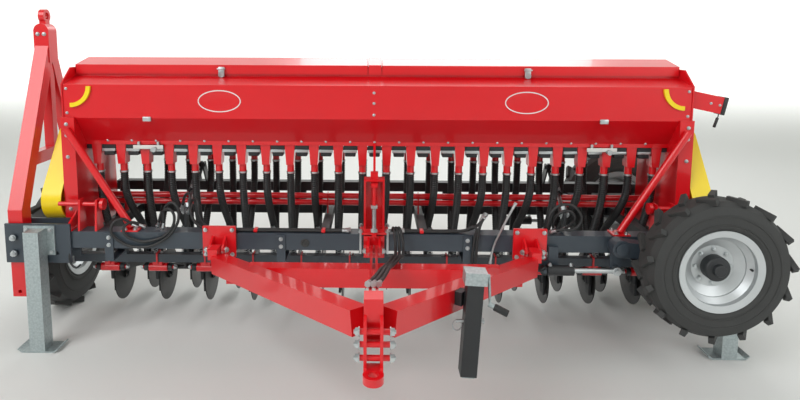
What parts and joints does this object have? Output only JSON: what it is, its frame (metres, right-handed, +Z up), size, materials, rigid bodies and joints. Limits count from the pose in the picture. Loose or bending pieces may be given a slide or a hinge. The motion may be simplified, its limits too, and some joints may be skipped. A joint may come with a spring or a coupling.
{
  "type": "seed drill",
  "caption": "Towed seed drill with a long red hopper, disc openers, side working wheels, a folding end drawbar and swing-down transport wheels.",
  "frame": {"origin": "centre of the hitch eye's hole, halfway up its ring", "axes": "+X along the main beam to the machine's right seen from the front, +Y backwards, +Z up"},
  "size_m": [4.4651, 2.693, 2.0115],
  "materials": {
    "red_paint": "gloss",
    "dark_paint": "satin",
    "black_paint": "satin",
    "yellow_plastic": "gloss",
    "zinc": "galvanised",
    "steel": "satin",
    "tyre": "matt",
    "hose": "matt"
  },
  "bodies": {
    "frame": {"main_beam": "dark_paint", "end_pocket": "dark_paint", "rear_beam": "black_paint", "side_rails": "black_paint", "opener_bar": "dark_paint", "opener_brackets": "red_paint", "end_frame_left": "red_paint", "end_frame_right": "red_paint", "hopper": "red_paint", "ring_handles": "yellow_plastic", "meters": "black_paint", "funnels": "red_paint", "drop_hoses": "hose", "pressure_bars": "red_paint", "guard_left": "yellow_plastic", "guard_right": "yellow_plastic", "shaft_stands": "red_paint", "stand_left": "zinc", "stand_right": "zinc", "mast": "red_paint", "mast_ubolts": "zinc", "drawbar_plates": "red_paint", "marker_arm": "red_paint", "axle_left": "black_paint", "axle_right": "black_paint", "swing_mounts": "dark_paint"},
    "lid_left": {"lid_left": "red_paint"},
    "lid_right": {"lid_right": "red_paint"},
    "wheel_left": {"tyre_left": "tyre", "rim_left": "steel"},
    "wheel_right": {"tyre_right": "tyre", "rim_right": "steel"},
    "transport_drawbar": {"transport_drawbar": "red_paint", "fold_foot": "red_paint"},
    "drawbar": {"drawbar_frame": "red_paint", "hitch": "red_paint", "jack_tube": "black_paint", "jack_head": "zinc"},
    "jack_leg": {"jack_leg": "zinc"},
    "wheel_front": {"tyre_front": "tyre", "rim_front": "steel"},
    "wheel_rear": {"tyre_rear": "tyre", "rim_rear": "steel"},
    "swing_barrels": {"swing_barrels": "black_paint"},
    "swing_rods": {"swing_rods": "steel"},
    "openers": {"opener_arms": "black_paint"},
    "discs_near": {"discs_near": "steel"},
    "discs_far": {"discs_far": "steel"},
    "lift_barrels": {"lift_barrels": "black_paint"},
    "lift_rods": {"lift_rods": "steel"},
    "swing_arms": {"transport_arm_front": "dark_paint", "transport_arm_rear": "dark_paint"}
  },
  "joints": [
    {"name": "lid_left_hinge", "type": "hinge", "parent": "frame", "child": "lid_left", "pos_m": [-0.947, 2.052, 0.966], "axis": [-1, 0, 0], "range_deg": [0, 100]},
    {"name": "lid_right_hinge", "type": "hinge", "parent": "frame", "child": "lid_right", "pos_m": [0.947, 2.052, 0.966], "axis": [-1, 0, 0], "range_deg": [0, 100]},
    {"name": "wheel_left_spin", "type": "hinge", "parent": "frame", "child": "wheel_left", "pos_m": [-2.115, 1.99, -0.21], "axis": [1, 0, 0], "continuous": true},
    {"name": "wheel_right_spin", "type": "hinge", "parent": "frame", "child": "wheel_right", "pos_m": [2.115, 1.99, -0.21], "axis": [1, 0, 0], "continuous": true},
    {"name": "transport_drawbar_fold", "type": "hinge", "parent": "frame", "child": "transport_drawbar", "pos_m": [-2.115, 1.44, -0.07], "axis": [0, -1, 0], "range_deg": [0, 90]},
    {"name": "drawbar_pitch", "type": "hinge", "parent": "frame", "child": "drawbar", "pos_m": [0, 1.31, -0.015], "axis": [1, 0, 0], "range_deg": [-12, 8]},
    {"name": "jack_slide", "type": "slide", "parent": "drawbar", "child": "jack_leg", "axis": [-0.0523, 0, -0.9986], "range_m": [0, 0.25]},
    {"name": "swing_pivot", "type": "hinge", "parent": "frame", "child": "swing_arms", "pos_m": [1.4, 1.44, 0.015], "axis": [0, 1, 0], "range_deg": [0, 45]},
    {"name": "wheel_front_spin", "type": "hinge", "parent": "swing_arms", "child": "wheel_front", "pos_m": [1.845, 1.17, -0.03], "axis": [0, 1, 0], "continuous": true},
    {"name": "wheel_rear_spin", "type": "hinge", "parent": "swing_arms", "child": "wheel_rear", "pos_m": [1.845, 2.555, -0.03], "axis": [0, 1, 0], "continuous": true},
    {"name": "swing_barrel_pivot", "type": "hinge", "parent": "frame", "child": "swing_barrels", "pos_m": [0.976, 1.44, -0.125], "axis": [0, 1, 0], "range_deg": [-12, 2]},
    {"name": "swing_rod_slide", "type": "slide", "parent": "swing_barrels", "child": "swing_rods", "axis": [1, 0, 0], "range_m": [-0.1, 0.01]},
    {"name": "opener_lift", "type": "hinge", "parent": "frame", "child": "openers", "pos_m": [0, 1.6, -0.238], "axis": [1, 0, 0], "range_deg": [0, 10], "deforming": ["drop_hoses"]},
    {"name": "discs_near_spin", "type": "hinge", "parent": "openers", "child": "discs_near", "pos_m": [0, 1.94, -0.415], "axis": [1, 0, 0], "continuous": true},
    {"name": "discs_far_spin", "type": "hinge", "parent": "openers", "child": "discs_far", "pos_m": [0, 2.13, -0.415], "axis": [1, 0, 0], "continuous": true},
    {"name": "lift_barrel_pivot", "type": "hinge", "parent": "frame", "child": "lift_barrels", "pos_m": [0, 2.04, 0.32], "axis": [1, 0, 0], "range_deg": [-10, 2]},
    {"name": "lift_rod_slide", "type": "slide", "parent": "lift_barrels", "child": "lift_rods", "axis": [0, -0.8204, -0.5718], "range_m": [-0.002, 0.06]}
  ],
  "couplings": [
    {"joint": "swing_barrel_pivot", "follows": "swing_pivot", "ratio": -0.19108},
    {"joint": "swing_rod_slide", "follows": "swing_pivot", "m_per_rad": -0.11771},
    {"joint": "lift_barrel_pivot", "follows": "opener_lift", "ratio": -0.58233},
    {"joint": "lift_rod_slide", "follows": "opener_lift", "m_per_rad": 0.24247}
  ]
}
